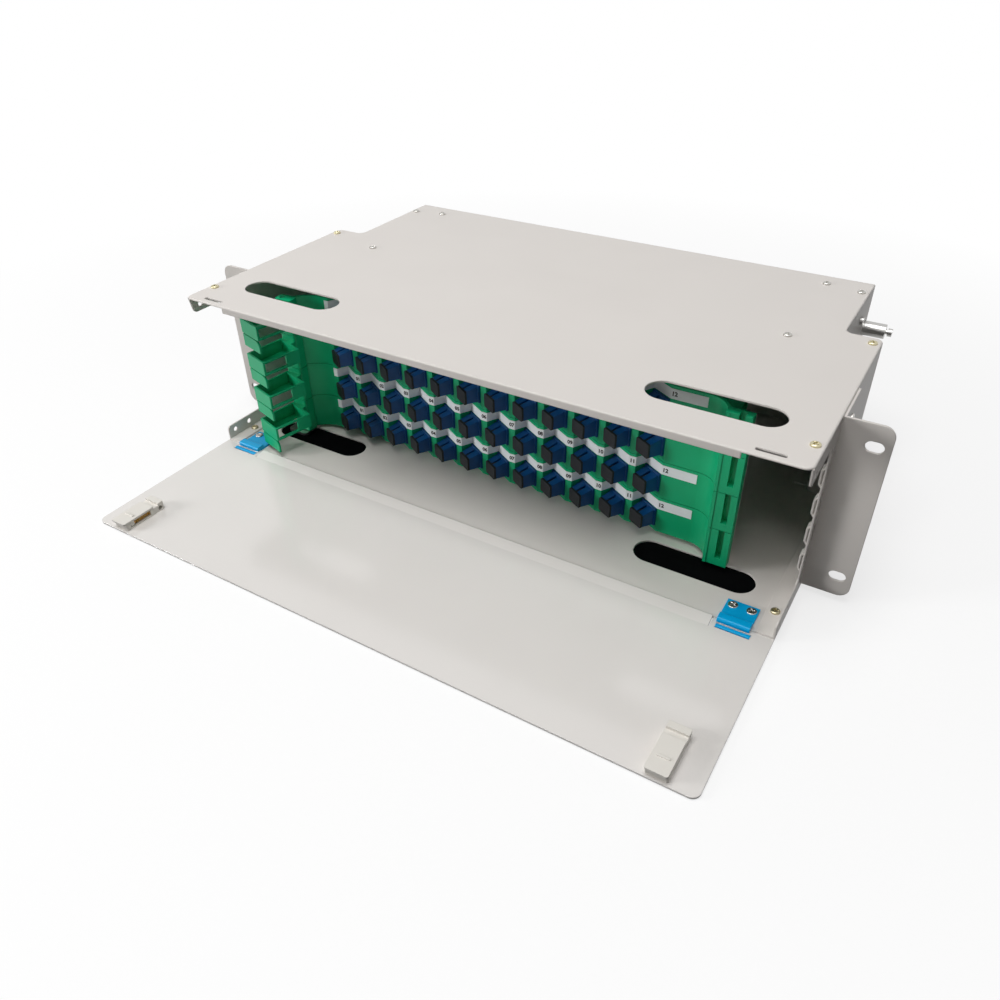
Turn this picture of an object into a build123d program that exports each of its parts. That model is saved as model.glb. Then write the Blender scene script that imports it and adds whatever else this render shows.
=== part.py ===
from build123d import *
import os
from math import acos, cos, degrees, radians, sin

os.makedirs("parts", exist_ok=True)

# Rack case for fibre patching, three units high, with four swing-out trays.
# Millimetres. X to the right, Y to the back, Z up.
# The origin is the middle of the four rack slots, on the face of the ears that meets the rack rails.

# Case
case_half_width = 214.0
case_step = 23.0
case_depth = 252.4
wide_depth = 164.4
sheet = 1.2
bend_radius = 5.0
ear_setback = 62.5
base_drop = 62.1
floor_front_gap = 9.7
flange_width = 11.0
flange_back = 21.0
flange_gap = 0.3

# Front arms of the side plates
arm_low_height = 12.4
arm_high_height = 11.8
arm_low_front = 9.3
arm_high_front = 1.9
arm_high_slope = 2.2
wall_front = 50.9
arm_hole_radius = 2.0
arm_low_holes = (15.9, 30.4)
arm_high_hole = 10.5
arm_hole_inset = 4.8
arm_corner_radius = 3.0

# Pressed bridges for cable ties in the side plates
bridge_count = 4
bridge_pitch = 19.8
bridge_first = 20.2
bridge_height = 12.9
bridge_width = 6.0
bridge_push = 2.0
bridge_from_edge = 0.9

# Cover
lip_from_side = 35.0
lip_drop = 4.8
lip_bend = 1.0
slot_from_side = 21.8
slot_length = 16.0
slot_width = 2.6
slot_setback = 5.6
slot_corner = 1.0
cable_hole_from_side = 62.4
cable_hole_length = 79.2
cable_hole_width = 22.0
cover_hole_setback = 38.9
floor_hole_setback = 46.9

# Angle under the cover
stiffener_setback = 141.6
stiffener_width = 14.0
stiffener_drop = 7.0
stiffener_end_gap = 19.0

# Screws
screw_head_radius = 2.8
screw_head_height = 1.6
screw_shank_radius = 1.9
screw_clearance = 0.1
screw_grip = 3.0
# Each place is the distance from the side's outer face and from the front edge
cover_wide_screws = ((5.1, 22.7), (5.1, 155.0))
cover_narrow_screw = (5.3, 232.7)
floor_wide_screws = ((6.0, 30.5), (6.0, 110.0))
tie_screw_from_side = 29.5
tie_screw_rear = 15.0

# Rear wall and its cable entries
entry_length = 60.0
entry_height = 24.0
entry_from_side = 81.0
entry_rise = 30.0

# Rack ears, by the 19 inch rack standard: 465.1 between slot centres and 482.6 over the ears
slot_from_case = 18.55
slot_to_ear_edge = 8.75
rack_slot_height_spacing = 88.9
rack_slot_length = 10.0
rack_slot_width = 6.8
ear_height = 116.0
ear_sheet = 1.5
ear_leg_length = 35.7
ear_corner_radius = 7.0
ear_screw_setback = 17.4
ear_screw_half_spacing = 47.8

# Hinges
hinge_from_side = 23.4
hinge_width = 19.3
hinge_leaf_thickness = 1.5
hinge_leaf_depth = 21.6
hinge_ridge_height = 2.2
hinge_ridge_radius = 1.6
hinge_ridge_front = 6.1
hinge_ridge_depth = 6.8
hinge_ridge_gap = 0.5
hinge_screw_spacing = 11.2
hinge_screw_from_back = 4.4
hinge_head_radius = 3.0
hinge_head_height = 0.9
hook_depth = 2.7
hook_thickness = 1.5
hook_nose_radius = 0.7

# Door
door_axis_setback = 3.85
door_gap = 0.4
door_lift = 0.2
door_top_gap = 0.3
door_corner_radius = 5.0
door_strip_back = 5.35
door_slot_length = 20.3
door_slot_depth = 4.3
door_slot_shift = 1.0
band_slot_gap = 3.45
band_depth = 8.4
band_rise = 1.5
band_cut = 0.4

# Door latches
latch_width = 12.4
latch_length = 30.9
latch_height = 4.7
latch_tip_gap = 1.7
latch_wall = 1.2
latch_corner = 1.0
latch_travel = 4.0
bolt_thickness = 1.4
bolt_clearance = 0.2
bolt_length = 24.0
bolt_nose_radius = 1.2
tongue_setback = 5.0
tongue_width = 4.6
tongue_depth = 3.0
tongue_height = 3.0
pocket_length = 16.5
pocket_width = 6.0
spring_radius = 1.6
spring_wire = 0.5
grip_setback = 10.0
grip_width = 7.0
grip_depth = 1.4
grip_height = 0.5
peep_hole_radius = 1.5
peep_hole_from_back = 3.2
peep_hole_depth = 4.0

# Cable anchor on the right side
anchor_radius = 5.1
anchor_length = 15.0
anchor_setback = 242.9
anchor_rise = 93.5
anchor_bore_radius = 1.6
anchor_bore_reach = 9.5
anchor_flat = 0.8
anchor_neck_radius = 1.6
anchor_neck_length = 1.6
anchor_screw_radius = 2.8
anchor_screw_length = 2.8
earth_boss_radius = 3.0
earth_boss_length = 2.0
earth_boss_setback = 220.9
earth_boss_rise = 106.8

# Trays
tray_count = 4
tray_bottom = 4.0
tray_pitch = 26.9
tray_height = 26.5
tray_headroom = 9.1
tray_wall = 2.0
tray_floor = 2.0
tray_side_height = 22.0
tray_back_depth = 158.0
tray_left_inset = 24.2

# Tray front: one cell of the sawtooth holds one adapter
cell_pitch = 22.2
cell_angle = 30.0
number_width = 4.42
first_number_x = 48.2
pivot_to_face = 13.5
front_arc_radius = 14.0
left_arc_radius = 24.1
front_flat_from_side = 71.3
body_overhang = 8.5
plate_width = 14.9
plate_depth = 6.0
plate_slot_from_left = 7.2
plate_slot_width = 3.6
plate_slot_bottom = 5.3
plate_back_wall = 1.5

# Swing pivot
rod_radius = 1.95
rod_running_clearance = 0.1
rod_top_recess = 1.0
lug_width = 14.0
lug_depth = 9.0
lug_right = 10.2
lug_corner = 2.0
foot_thickness = 2.2
foot_width = 18.0
foot_reach = 9.0
foot_back = 22.0
foot_corner = 3.0
pivot_from_side = 38.6
post_gap = 0.4
post_from_plate = 2.8
post_width = 10.0
post_depth = 10.0
post_top_drop = 6.5
swing_clearance = 1.2

# Adapters
adapter_width = 12.8
adapter_height = 9.3
adapter_rise = 5.0
adapter_reach = 10.0
adapter_tail = 14.5
adapter_flange_width = 14.5
adapter_flange_height = 13.0
adapter_flange_thickness = 1.6
adapter_shoulder_height = 11.6
adapter_nose_width = 11.5
adapter_fit = 0.1
port_width = 9.1
port_height = 7.5
port_depth = 9.0
key_width = 1.8
key_length = 7.8
key_depth = 0.6
key_fit = 0.2
cap_thickness = 1.5
cap_overhang = 0.4
cap_corner = 1.2
cap_plug_length = 5.0
cap_fit = 0.1

# Label strip
label_thickness = 0.3
label_bottom = 17.9
label_height = 6.6
label_end_gap = 0.7

# Cord guide: the corners of its ring seen from above, from the swing axis
guide_front_left = (-7.6, -35.7)
guide_front_right = (13.9, -41.9)
guide_back_right = (20.5, -12.1)
guide_back_left_x = -3.7
guide_rim = 22.2
guide_ring_height = 10.4
guide_wall = 1.5
guide_tab_bottom = 2.0
guide_tab_gap = 0.9
guide_tab_inset = 0.4
guide_tab_radius = 4.0
guide_shelf_width = 7.0
guide_window_margin = 1.6
guide_window_rise = 1.8
guide_window_length = 17.5
guide_window_height = 7.4
guide_window_corner = 0.6
guide_web_share = 0.55

# Splice holder
splice_shift = 5.2
splice_y = 120.0
splice_length = 60.0
splice_width = 40.0
splice_slots = 6
splice_slot_width = 3.4
splice_base = 1.5
splice_height = 7.0
spool_from_end = 61.0
spool_radius = 26.0
spool_wall = 1.6
spool_height = 18.0
spool_gap = 20.0
entry_window = 24.0
entry_window_y = 46.0
lid_front_y = 78.0
lid_thickness = 1.2
lid_clearance = 0.5

# Places that follow from the sizes
front_y = -ear_setback
rear_y = front_y + case_depth
wide_end_y = front_y + wide_depth
base_z = -base_drop
inner_floor_z = base_z + sheet
tray_base_z = base_z + tray_bottom
cover_bottom_z = tray_base_z + (tray_count - 1) * tray_pitch + tray_height + tray_headroom
cover_top_z = cover_bottom_z + sheet
floor_front_y = front_y + floor_front_gap
pivot_x = -(case_half_width - sheet - pivot_from_side)
pivot_y = front_y + wall_front + 0.5
side_height = cover_bottom_z - inner_floor_z
narrow_half_width = case_half_width - case_step
rack_slot_half_spacing = case_half_width + slot_from_case
ear_width = slot_from_case + slot_to_ear_edge
lip_half_width = case_half_width - lip_from_side
slot_centre_x = case_half_width - slot_from_side
cable_hole_centre_x = case_half_width - cable_hole_from_side
stiffener_half_length = narrow_half_width - stiffener_end_gap
tie_screw_x = narrow_half_width - tie_screw_from_side
entry_centre_x = narrow_half_width - entry_from_side
hinge_centre_x = case_half_width - hinge_from_side
door_slot_centre = hinge_centre_x + door_slot_shift
band_half_width = door_slot_centre - door_slot_length / 2 - band_slot_gap
stiffener_y = front_y + stiffener_setback


def mirrored(part, label):
    """The same piece on the other side of the case."""
    twin = mirror(part, about=Plane.YZ, mode=Mode.PRIVATE)
    twin.label = label
    return twin


def save(part, label):
    """Writes one piece as one STEP file, named after it."""
    part.label = label
    export_step(part, f"parts/{label}.step")


def save_pair(part, name):
    """Writes the right piece and its mirror image on the left."""
    save(part, f"{name}_right")
    save(mirrored(part, f"{name}_left"), f"{name}_left")


def at_height(height):
    """Level plane at a height over the underside of the case."""
    return Plane.XY.offset(base_z + height)


def case_plan(plan, start_y):
    """Plan of the case from start_y to its rear edge, wide in front and narrow behind."""
    Polygon(
        (-case_half_width, start_y),
        (case_half_width, start_y),
        (case_half_width, wide_end_y),
        (narrow_half_width, wide_end_y),
        (narrow_half_width, rear_y),
        (-narrow_half_width, rear_y),
        (-narrow_half_width, wide_end_y),
        (-case_half_width, wide_end_y),
        align=None,
    )
    fillet(plan.vertices().group_by(Axis.Y)[1], radius=bend_radius)


def both_sides(places):
    """Each place and its mirror image."""
    return [(side * x, y) for x, y in places for side in (-1, 1)]


def side_screw_places(places):
    """Screw places given as distance from the wall's outer face and from the front edge."""
    return both_sides([(half - inset, front_y + setback) for half, inset, setback in places])


yellow_places = side_screw_places([(case_half_width, *place) for place in cover_wide_screws])
nickel_places = side_screw_places([(narrow_half_width, *cover_narrow_screw)])
tie_places = both_sides([(tie_screw_x, rear_y - tie_screw_rear), (tie_screw_x, stiffener_y)])
floor_places = side_screw_places(
    [(case_half_width, *place) for place in floor_wide_screws] + [(narrow_half_width, *cover_narrow_screw)]
)


# Floor plate
with BuildPart() as floor_plate:
    with BuildSketch(at_height(0)) as floor_plan:
        case_plan(floor_plan, floor_front_y)
        with Locations(*both_sides([(cable_hole_centre_x, front_y + floor_hole_setback)])):
            SlotOverall(cable_hole_length, cable_hole_width, mode=Mode.SUBTRACT)
        with Locations(*floor_places):
            Circle(screw_shank_radius + screw_clearance, mode=Mode.SUBTRACT)
    extrude(amount=sheet)
save(floor_plate.part, "floor_plate")


# Top cover with its front lip, latch slots and cable holes
with BuildPart() as top_cover:
    with BuildSketch(Plane.XY.offset(cover_bottom_z)) as cover_plan:
        case_plan(cover_plan, front_y)
        fillet(cover_plan.vertices().group_by(Axis.Y)[0], radius=bend_radius)
        with Locations(*both_sides([(cable_hole_centre_x, front_y + cover_hole_setback)])):
            SlotOverall(cable_hole_length, cable_hole_width, mode=Mode.SUBTRACT)
        with Locations(*both_sides([(slot_centre_x, front_y + slot_setback)])):
            RectangleRounded(slot_length, slot_width, slot_corner, mode=Mode.SUBTRACT)
        with Locations(*yellow_places, *nickel_places, *tie_places):
            Circle(screw_shank_radius + screw_clearance, mode=Mode.SUBTRACT)
    extrude(amount=sheet)
    with BuildSketch(Plane.XY.offset(cover_top_z)):
        with Locations((0, front_y + sheet / 2)):
            Rectangle(2 * lip_half_width, sheet)
    extrude(amount=-lip_drop)
    fillet(top_cover.edges().filter_by(Axis.X).group_by(Axis.Y)[0].sort_by(Axis.Z)[-1], radius=lip_bend)
save(top_cover.part, "top_cover")


# Angle that stiffens the cover
with BuildPart() as cover_stiffener:
    with BuildSketch(Plane.YZ.offset(-stiffener_half_length)):
        with BuildLine():
            FilletPolyline(
                (stiffener_y + stiffener_width / 2, cover_bottom_z - sheet / 2),
                (stiffener_y - stiffener_width / 2 + sheet / 2, cover_bottom_z - sheet / 2),
                (stiffener_y - stiffener_width / 2 + sheet / 2, cover_bottom_z - stiffener_drop),
                radius=sheet,
            )
        trace(line_width=sheet)
    extrude(amount=2 * stiffener_half_length)
    with BuildSketch(Plane.XY.offset(cover_bottom_z)):
        with Locations(*[place for place in tie_places if abs(place[1] - stiffener_y) < 1]):
            Circle(screw_shank_radius + screw_clearance)
    extrude(amount=-2 * sheet, mode=Mode.SUBTRACT)
save(cover_stiffener.part, "cover_stiffener")


# Side plate: one bent sheet with two front arms, flanges and pressed tie bridges
low_arm_top = base_z + arm_low_height
high_arm_bottom = cover_bottom_z - arm_high_height
wall_front_y = front_y + wall_front
with BuildPart() as side_plate:
    with BuildSketch(Plane.XY.offset(inner_floor_z)):
        with BuildLine():
            FilletPolyline(
                (case_half_width - sheet / 2, front_y + arm_high_front),
                (case_half_width - sheet / 2, wide_end_y - sheet / 2),
                (narrow_half_width - sheet / 2, wide_end_y - sheet / 2),
                (narrow_half_width - sheet / 2, rear_y),
                radius=bend_radius - sheet / 2,
            )
        trace(line_width=sheet)
    extrude(amount=side_height)
    for flange_z in (inner_floor_z, cover_bottom_z - sheet):
        with BuildSketch(Plane.XY.offset(flange_z)):
            with Locations((case_half_width - sheet, wide_end_y - bend_radius)):
                Rectangle(
                    flange_width - sheet,
                    wide_depth - bend_radius - arm_low_front,
                    align=(Align.MAX, Align.MAX),
                )
            with Locations((narrow_half_width - sheet, rear_y - sheet)):
                Rectangle(
                    flange_width - sheet,
                    case_depth - wide_depth - sheet - bend_radius,
                    align=(Align.MAX, Align.MAX),
                )
        extrude(amount=sheet)
    with BuildSketch(Plane.YZ.offset(case_half_width - flange_width)) as arm_view:
        with BuildLine():
            Polyline(
                (front_y - 1, inner_floor_z),
                (front_y + arm_low_front, inner_floor_z),
                (front_y + arm_low_front, low_arm_top),
                (wall_front_y, low_arm_top),
                (wall_front_y, high_arm_bottom),
                (front_y + arm_high_front + arm_high_slope, high_arm_bottom),
                (front_y + arm_high_front, cover_bottom_z),
                (front_y - 1, cover_bottom_z),
                close=True,
            )
        make_face()
        inner_corners = arm_view.vertices().filter_by_position(Axis.Y, low_arm_top, high_arm_bottom)
        fillet(inner_corners, radius=arm_corner_radius)
        with Locations(
            *[(front_y + setback, low_arm_top - arm_hole_inset) for setback in arm_low_holes],
            (front_y + arm_high_hole, high_arm_bottom + arm_hole_inset),
        ):
            Circle(arm_hole_radius)
        with GridLocations(0, 2 * ear_screw_half_spacing, 1, 2):
            with Locations((ear_screw_setback, 0)):
                Circle(screw_shank_radius + screw_clearance)
        with Locations(
            *[
                (
                    wall_front_y + bridge_from_edge + bridge_width / 2,
                    base_z + bridge_first + bridge_height / 2 + index * bridge_pitch,
                )
                for index in range(bridge_count)
            ]
        ):
            Rectangle(bridge_width, bridge_height)
    extrude(amount=flange_width, mode=Mode.SUBTRACT)
    for index in range(bridge_count):
        bridge_z = base_z + bridge_first + index * bridge_pitch
        wall_x = case_half_width - sheet / 2
        with BuildSketch(Plane.XZ.offset(-(wall_front_y + bridge_from_edge + bridge_width))):
            with BuildLine():
                Polyline(
                    (wall_x, bridge_z - sheet / 2),
                    (wall_x - bridge_push, bridge_z + bridge_push),
                    (wall_x - bridge_push, bridge_z + bridge_height - bridge_push),
                    (wall_x, bridge_z + bridge_height + sheet / 2),
                )
            trace(line_width=sheet)
        extrude(amount=bridge_width)
    with BuildSketch(Plane.XY.offset(cover_bottom_z)):
        with Locations(*yellow_places, *nickel_places):
            Circle(screw_shank_radius + screw_clearance)
    extrude(amount=-2 * sheet, mode=Mode.SUBTRACT)
    with BuildSketch(Plane.XY.offset(inner_floor_z)):
        with Locations(*floor_places):
            Circle(screw_shank_radius + screw_clearance)
    extrude(amount=2 * sheet, mode=Mode.SUBTRACT)
save_pair(side_plate.part, "side_plate")


# Rear wall with two cable entries and flanges under the cover and on the floor
with BuildPart() as rear_wall:
    with BuildSketch(Plane.XZ.offset(-rear_y)):
        with Locations((0, (inner_floor_z + cover_bottom_z) / 2)):
            Rectangle(2 * (narrow_half_width - sheet), side_height)
        with Locations((-entry_centre_x, base_z + entry_rise), (entry_centre_x, base_z + entry_rise)):
            SlotOverall(entry_length, entry_height, mode=Mode.SUBTRACT)
    extrude(amount=sheet)
    for flange_z in (inner_floor_z, cover_bottom_z - sheet):
        with BuildSketch(Plane.XY.offset(flange_z)):
            with Locations((0, rear_y - sheet)):
                Rectangle(
                    2 * (narrow_half_width - flange_width - flange_gap),
                    flange_back,
                    align=(Align.CENTER, Align.MAX),
                )
        extrude(amount=sheet)
    with BuildSketch(Plane.XY.offset(cover_bottom_z)):
        with Locations(*both_sides([(tie_screw_x, rear_y - tie_screw_rear)])):
            Circle(screw_shank_radius + screw_clearance)
    extrude(amount=-2 * sheet, mode=Mode.SUBTRACT)
save(rear_wall.part, "rear_wall")


# Rack ears
with BuildPart() as ear:
    with BuildSketch(Plane.XZ) as ear_face:
        with Locations((case_half_width, 0)):
            Rectangle(ear_width, ear_height, align=(Align.MIN, Align.CENTER))
        fillet(ear_face.vertices().group_by(Axis.X)[-1], radius=ear_corner_radius)
        with Locations((rack_slot_half_spacing, 0)):
            with GridLocations(0, rack_slot_height_spacing, 1, 2):
                SlotOverall(rack_slot_length, rack_slot_width, mode=Mode.SUBTRACT)
    extrude(amount=ear_sheet)
    with BuildSketch(Plane.YZ.offset(case_half_width)):
        with Locations((-ear_sheet, 0)):
            Rectangle(ear_leg_length, ear_height, align=(Align.MIN, Align.CENTER))
        with Locations((ear_screw_setback, 0)):
            with GridLocations(0, 2 * ear_screw_half_spacing, 1, 2):
                Circle(screw_shank_radius + screw_clearance, mode=Mode.SUBTRACT)
    extrude(amount=ear_sheet)
save_pair(ear.part, "ear")


# Screws: a plain head on its seat and a shank through the sheets
def screws(label, seats, grip, head_radius=screw_head_radius, head_height=screw_head_height):
    """Screws at planes whose normal points out of the head."""
    with BuildPart() as group:
        with BuildSketch(*seats):
            Circle(head_radius)
        extrude(amount=head_height)
        with BuildSketch(*seats):
            Circle(screw_shank_radius)
        extrude(amount=-grip)
    save(group.part, label)


def level_seats(places, height):
    """Upward planes for screws at one height."""
    return [Plane((x, y, height)) for x, y in places]


screws("cover_screws_yellow", level_seats(yellow_places, cover_top_z), screw_grip)
screws("cover_screws_nickel", level_seats(nickel_places + tie_places, cover_top_z), screw_grip)
screws("floor_screws", level_seats(floor_places, inner_floor_z + sheet), 2 * sheet)
ear_seats = [
    Plane(
        origin=(side * (case_half_width + ear_sheet), ear_screw_setback, level * ear_screw_half_spacing),
        z_dir=(side, 0, 0),
    )
    for side in (-1, 1)
    for level in (-1, 1)
]
screws("ear_screws", ear_seats, ear_sheet + sheet)


# Hinge leaf: a plastic plate on the floor with a raised round ridge over the door's edge
door_face_z = base_z + door_lift + sheet
axis_y = front_y + door_axis_setback
axis_z = door_face_z + door_axis_setback + door_gap
ridge_front_y = front_y + hinge_ridge_front
leaf_back_y = ridge_front_y + hinge_leaf_depth
leaf_top_z = inner_floor_z + hinge_leaf_thickness
hinge_screw_y = leaf_back_y - hinge_screw_from_back
hinge_screw_places = both_sides(
    [(hinge_centre_x + side * hinge_screw_spacing / 2, hinge_screw_y) for side in (-1, 1)]
)
with BuildPart() as hinge_leaf:
    with BuildSketch(Plane.YZ.offset(hinge_centre_x - hinge_width / 2)) as leaf_view:
        with BuildLine():
            Polyline(
                (leaf_back_y, inner_floor_z),
                (leaf_back_y, leaf_top_z),
                (ridge_front_y + hinge_ridge_depth, leaf_top_z),
                (ridge_front_y + hinge_ridge_depth, leaf_top_z + hinge_ridge_height),
                (ridge_front_y, leaf_top_z + hinge_ridge_height),
                (ridge_front_y, door_face_z + hinge_ridge_gap),
                (floor_front_y, door_face_z + hinge_ridge_gap),
                (floor_front_y, inner_floor_z),
                close=True,
            )
        make_face()
        ridge_top = leaf_view.vertices().filter_by_position(
            Axis.Y, leaf_top_z + hinge_ridge_height - 0.01, leaf_top_z + hinge_ridge_height + 0.01
        )
        fillet(ridge_top, radius=hinge_ridge_radius)
    extrude(amount=hinge_width)
    with BuildSketch(Plane.XY.offset(leaf_top_z)):
        with Locations(*hinge_screw_places):
            Circle(screw_shank_radius + screw_clearance)
    extrude(amount=-hinge_leaf_thickness, mode=Mode.SUBTRACT)
save_pair(hinge_leaf.part, "hinge_leaf")
hinge_seats = level_seats(hinge_screw_places, leaf_top_z)
screws("hinge_screws", hinge_seats, hinge_leaf_thickness, hinge_head_radius, hinge_head_height)


# Door, lying open and flat at rest; its hinge line runs along the two hinge slots
door_closed_top_z = cover_top_z - door_top_gap
door_far_y = axis_y - (door_closed_top_z - axis_z)
door_back_y = axis_y + door_strip_back
band_front_y = door_back_y - band_depth
with BuildPart() as door_panel:
    with BuildSketch(Plane.XY.offset(door_face_z)) as door_plan:
        with Locations((0, door_far_y)):
            Rectangle(2 * case_half_width, door_back_y - door_far_y, align=(Align.CENTER, Align.MIN))
        fillet(door_plan.vertices().group_by(Axis.Y)[0], radius=door_corner_radius)
        with Locations((0, band_front_y)):
            Rectangle(
                2 * (band_half_width + band_cut),
                2 * band_depth,
                align=(Align.CENTER, Align.MIN),
                mode=Mode.SUBTRACT,
            )
        with Locations((-door_slot_centre, axis_y), (door_slot_centre, axis_y)):
            Rectangle(door_slot_length, door_slot_depth, mode=Mode.SUBTRACT)
    extrude(amount=-sheet)
    with BuildSketch(Plane.YZ.offset(-band_half_width)):
        with BuildLine():
            Polyline(
                (band_front_y, door_face_z),
                (door_back_y, door_face_z + band_rise),
                (door_back_y, door_face_z + band_rise - sheet),
                (band_front_y, door_face_z - sheet),
                close=True,
            )
        make_face()
    extrude(amount=2 * band_half_width)
save(door_panel.part, "door_panel")


# Hinge hook: the round-nosed bar that shows in the door's hinge slot
with BuildPart() as hinge_hook:
    with BuildSketch(Plane.YZ.offset(door_slot_centre - door_slot_length / 2)) as hook_view:
        with Locations((axis_y, door_face_z - sheet)):
            Rectangle(hook_depth, hook_thickness, align=(Align.CENTER, Align.MIN))
        fillet(hook_view.vertices().group_by(Axis.Y)[-1], radius=hook_nose_radius)
    extrude(amount=door_slot_length)
save_pair(hinge_hook.part, "hinge_hook")


# Latch housing on the door: a low block with a spring pocket open to the middle of the door
latch_front_y = door_far_y + latch_tip_gap
latch_back_y = latch_front_y + latch_length
latch_inner_x = slot_centre_x - latch_width / 2
bolt_z = door_face_z + latch_height + bolt_clearance
bolt_back_y = door_far_y + bolt_length
tongue_y = door_far_y + tongue_setback
tongue_back_y = tongue_y + tongue_depth
pocket_y = tongue_y - bolt_clearance
pocket_back_y = pocket_y + pocket_length
spring_x = latch_inner_x + spring_radius + bolt_clearance
spring_z = door_face_z + latch_wall + spring_radius + bolt_clearance
block_y = bolt_back_y + latch_travel + bolt_clearance
with BuildPart() as latch_housing:
    with BuildSketch(Plane.XY.offset(door_face_z)):
        with Locations((slot_centre_x, (latch_front_y + latch_back_y) / 2)):
            RectangleRounded(latch_width, latch_length, latch_corner)
    extrude(amount=latch_height + bolt_clearance + bolt_thickness)
    with BuildSketch(Plane.XY.offset(door_face_z + latch_height)):
        with Locations((slot_centre_x, block_y)):
            Rectangle(2 * latch_width, latch_length, align=(Align.CENTER, Align.MAX))
    extrude(amount=latch_height, mode=Mode.SUBTRACT)
    with BuildSketch(Plane.XY.offset(door_face_z + latch_wall)):
        with Locations((latch_inner_x - latch_wall, pocket_y)):
            Rectangle(pocket_width + latch_wall, pocket_length, align=(Align.MIN, Align.MIN))
    extrude(amount=latch_height, mode=Mode.SUBTRACT)
    with BuildSketch(Plane.YZ.offset(latch_inner_x)):
        with Locations((latch_back_y - peep_hole_from_back, door_face_z + latch_height / 2)):
            Circle(peep_hole_radius)
    extrude(amount=peep_hole_depth, mode=Mode.SUBTRACT)
save_pair(latch_housing.part, "latch_housing")


# Latch bolt: a plate that slides on the housing, with a finger grip above and a tongue in the pocket
with BuildPart() as latch_bolt:
    with BuildSketch(Plane.XY.offset(bolt_z)) as bolt_plan:
        with Locations((slot_centre_x, door_far_y)):
            Rectangle(latch_width, bolt_length, align=(Align.CENTER, Align.MIN))
        fillet(bolt_plan.vertices().group_by(Axis.Y)[0], radius=bolt_nose_radius)
    extrude(amount=bolt_thickness)
    with BuildSketch(Plane.XY.offset(bolt_z + bolt_thickness)):
        with Locations((slot_centre_x, door_far_y + grip_setback)):
            Rectangle(grip_width, grip_depth)
    extrude(amount=grip_height)
    with BuildSketch(Plane.XY.offset(bolt_z)):
        with Locations((latch_inner_x + bolt_clearance, tongue_y)):
            Rectangle(tongue_width, tongue_depth, align=(Align.MIN, Align.MIN))
    extrude(amount=-tongue_height)
save_pair(latch_bolt.part, "latch_bolt")


# Latch spring, drawn as the sleeve that its coils fill
with BuildPart() as latch_spring:
    with BuildSketch(Plane.XZ.offset(-tongue_back_y)):
        with Locations((spring_x, spring_z)):
            Circle(spring_radius)
            Circle(spring_radius - spring_wire, mode=Mode.SUBTRACT)
    extrude(amount=-(pocket_back_y - tongue_back_y))
save_pair(latch_spring.part, "latch_spring")


# Cable anchor on the outside of the right wall, with an earth boss in front of it
anchor_plane = Plane(
    origin=(narrow_half_width, front_y + anchor_setback, base_z + anchor_rise),
    x_dir=(0, 1, 0),
    z_dir=(1, 0, 0),
)
boss_plane = Plane(
    origin=(narrow_half_width, front_y + earth_boss_setback, base_z + earth_boss_rise),
    x_dir=(0, 1, 0),
    z_dir=(1, 0, 0),
)
with BuildPart() as anchor_post:
    with BuildSketch(anchor_plane):
        Circle(anchor_radius)
        with Locations((0, anchor_radius)):
            Rectangle(2 * anchor_radius, 2 * anchor_flat, mode=Mode.SUBTRACT)
    extrude(amount=anchor_length)
    with BuildSketch(anchor_plane.offset(anchor_bore_reach).rotated((90, 0, 0))):
        Circle(anchor_bore_radius)
    extrude(amount=anchor_radius, both=True, mode=Mode.SUBTRACT)
save(anchor_post.part, "anchor_post")

with BuildPart() as anchor_screw:
    with BuildSketch(anchor_plane.offset(anchor_length)):
        Circle(anchor_neck_radius)
    extrude(amount=anchor_neck_length)
    with BuildSketch(anchor_plane.offset(anchor_length + anchor_neck_length)):
        Circle(anchor_screw_radius)
    extrude(amount=anchor_screw_length)
save(anchor_screw.part, "anchor_screw")

with BuildPart() as earth_boss:
    with BuildSketch(boss_plane):
        Circle(earth_boss_radius)
    extrude(amount=earth_boss_length)
save(earth_boss.part, "earth_boss")


# Tray: everything below is measured from the swing axis and the underside of the tray
saw = radians(cell_angle)
saw_span = cell_pitch - number_width
white_length = saw_span * cos(saw)
grey_run = saw_span - white_length * cos(saw)
valley_y = pivot_to_face + white_length * sin(saw)
label_left = pivot_to_face + pivot_to_face
front_flat_right = case_half_width - sheet - front_flat_from_side - pivot_x
adapter_count = int((front_flat_right - first_number_x) / cell_pitch)
label_right = front_flat_right - label_end_gap
body_left = tray_left_inset
body_right = front_flat_right + body_overhang
body_back = pivot_to_face + tray_back_depth
plate_left = front_flat_right + front_arc_radius
splice_x = (body_left + body_right) / 2 - splice_shift
spool_spacing = body_right - body_left - 2 * spool_from_end
swing_radius = plate_left + post_from_plate - swing_clearance


def tray_plane(height=0.0):
    """Level plane in the lowest tray, with its origin on the swing axis."""
    return Plane((pivot_x, pivot_y, tray_base_z + height))


def mitred(corner, before, after, setback):
    """Corner of a bent sheet moved back by setback, given the outward normals of its two faces."""
    dot = before[0] * after[0] + before[1] * after[1]
    reach = -setback / (1 + dot)
    return (corner[0] + reach * (before[0] + after[0]), corner[1] + reach * (before[1] + after[1]))


def sawtooth(setback, left_x, right_x):
    """Points of the tray's front from left to right, one valley for each adapter."""
    number_normal = (0, -1)
    white_normal = (-sin(saw), -cos(saw))
    grey_normal = (cos(saw), -sin(saw))
    points = [(left_x, pivot_to_face + setback)]
    for cell in range(adapter_count):
        start_x = first_number_x - saw_span + cell * cell_pitch
        points.append(mitred((start_x, pivot_to_face), number_normal, grey_normal, setback))
        points.append(mitred((start_x + grey_run, valley_y), grey_normal, white_normal, setback))
        points.append(mitred((start_x + saw_span, pivot_to_face), white_normal, number_normal, setback))
    points.append((right_x, pivot_to_face + setback))
    return points


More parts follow.
